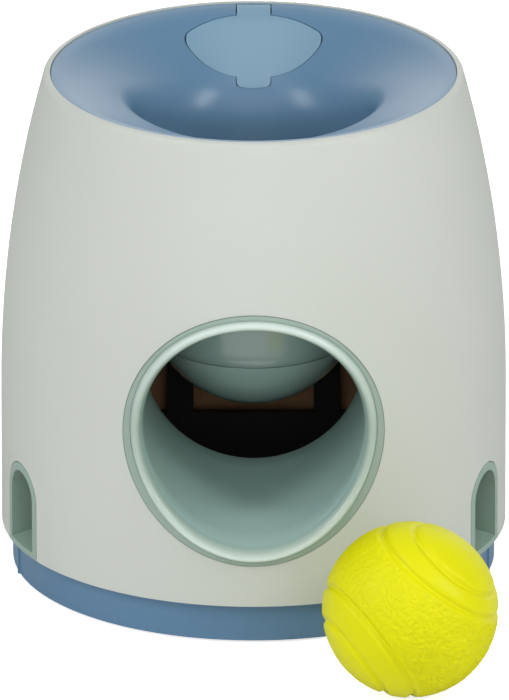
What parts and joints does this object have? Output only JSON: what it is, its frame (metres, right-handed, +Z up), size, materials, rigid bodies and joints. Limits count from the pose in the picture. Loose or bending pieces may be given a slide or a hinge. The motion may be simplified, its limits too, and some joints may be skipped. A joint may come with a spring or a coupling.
{
  "type": "dog puzzle toy",
  "caption": "Round treat-dispensing dog toy with a dished top, a tipping cup behind a round port, side outlets and a loose ball.",
  "frame": {"origin": "centre of the resting face, on the axis of the round body", "axes": "+Z up along the body's axis, the port faces -Y, the lid is at +Y, +X to the right seen from the port"},
  "size_m": [0.174, 0.244, 0.178],
  "materials": {
    "shell_plastic": "satin moulded",
    "blue_plastic": "soft gloss",
    "lid_plastic": "soft gloss",
    "sage_plastic": "satin moulded",
    "cup_plastic": "glossy",
    "black_plastic": "satin",
    "brown_plastic": "satin",
    "bush_plastic": "smooth",
    "steel": "bright drawn",
    "grip_rubber": "matt",
    "ball_rubber": "satin, fine pebble"
  },
  "bodies": {
    "body": {"outer_shell": "shell_plastic", "funnel": "blue_plastic", "lid_hinge_pin": "steel", "exit_tunnel": "sage_plastic", "right_outlet": "sage_plastic", "left_outlet": "sage_plastic", "base": "blue_plastic", "non_slip_ring": "grip_rubber", "cup_bushes": "bush_plastic", "drum_bushes": "bush_plastic", "mechanism_frame": "black_plastic", "treat_hopper": "brown_plastic", "treat_ramp": "brown_plastic", "base_screws": "steel", "funnel_screws": "steel", "frame_screws": "steel", "tunnel_screws": "steel", "hopper_screws": "steel"},
    "cup": {"tipping_cup": "cup_plastic", "cup_trunnions": "steel", "cup_lever": "black_plastic", "cup_lever_pin": "steel", "counterweight_arm": "black_plastic", "counterweight": "steel"},
    "link": {"drive_link": "black_plastic"},
    "drum": {"dosing_drum": "sage_plastic", "drum_axle": "steel", "drum_lever": "black_plastic", "drum_lever_pin": "steel"},
    "lid": {"treat_lid": "lid_plastic"},
    "loose_ball": {"ball": "ball_rubber"}
  },
  "joints": [
    {"name": "cup_tilt", "type": "hinge", "parent": "body", "child": "cup", "pos_m": [0, 0.002, 0.0945], "axis": [1, 0, 0], "range_deg": [0, 95]},
    {"name": "link_swing", "type": "hinge", "parent": "cup", "child": "link", "pos_m": [0, -0.00702, 0.09018], "axis": [1, 0, 0], "range_deg": [-95, 0]},
    {"name": "drum_turn", "type": "hinge", "parent": "body", "child": "drum", "pos_m": [0, 0.058, 0.072], "axis": [1, 0, 0], "range_deg": [0, 95]},
    {"name": "lid_hinge", "type": "hinge", "parent": "body", "child": "lid", "pos_m": [0, 0.0668, 0.176], "axis": [-1, 0, 0], "range_deg": [0, 105]},
    {"name": "ball_lift", "type": "slide", "parent": "body", "child": "loose_ball", "axis": [0, 0, 1], "range_m": [0, 0.2]}
  ],
  "couplings": [
    {"joint": "link_swing", "follows": "cup_tilt", "ratio": -1},
    {"joint": "drum_turn", "follows": "cup_tilt", "ratio": 1}
  ]
}
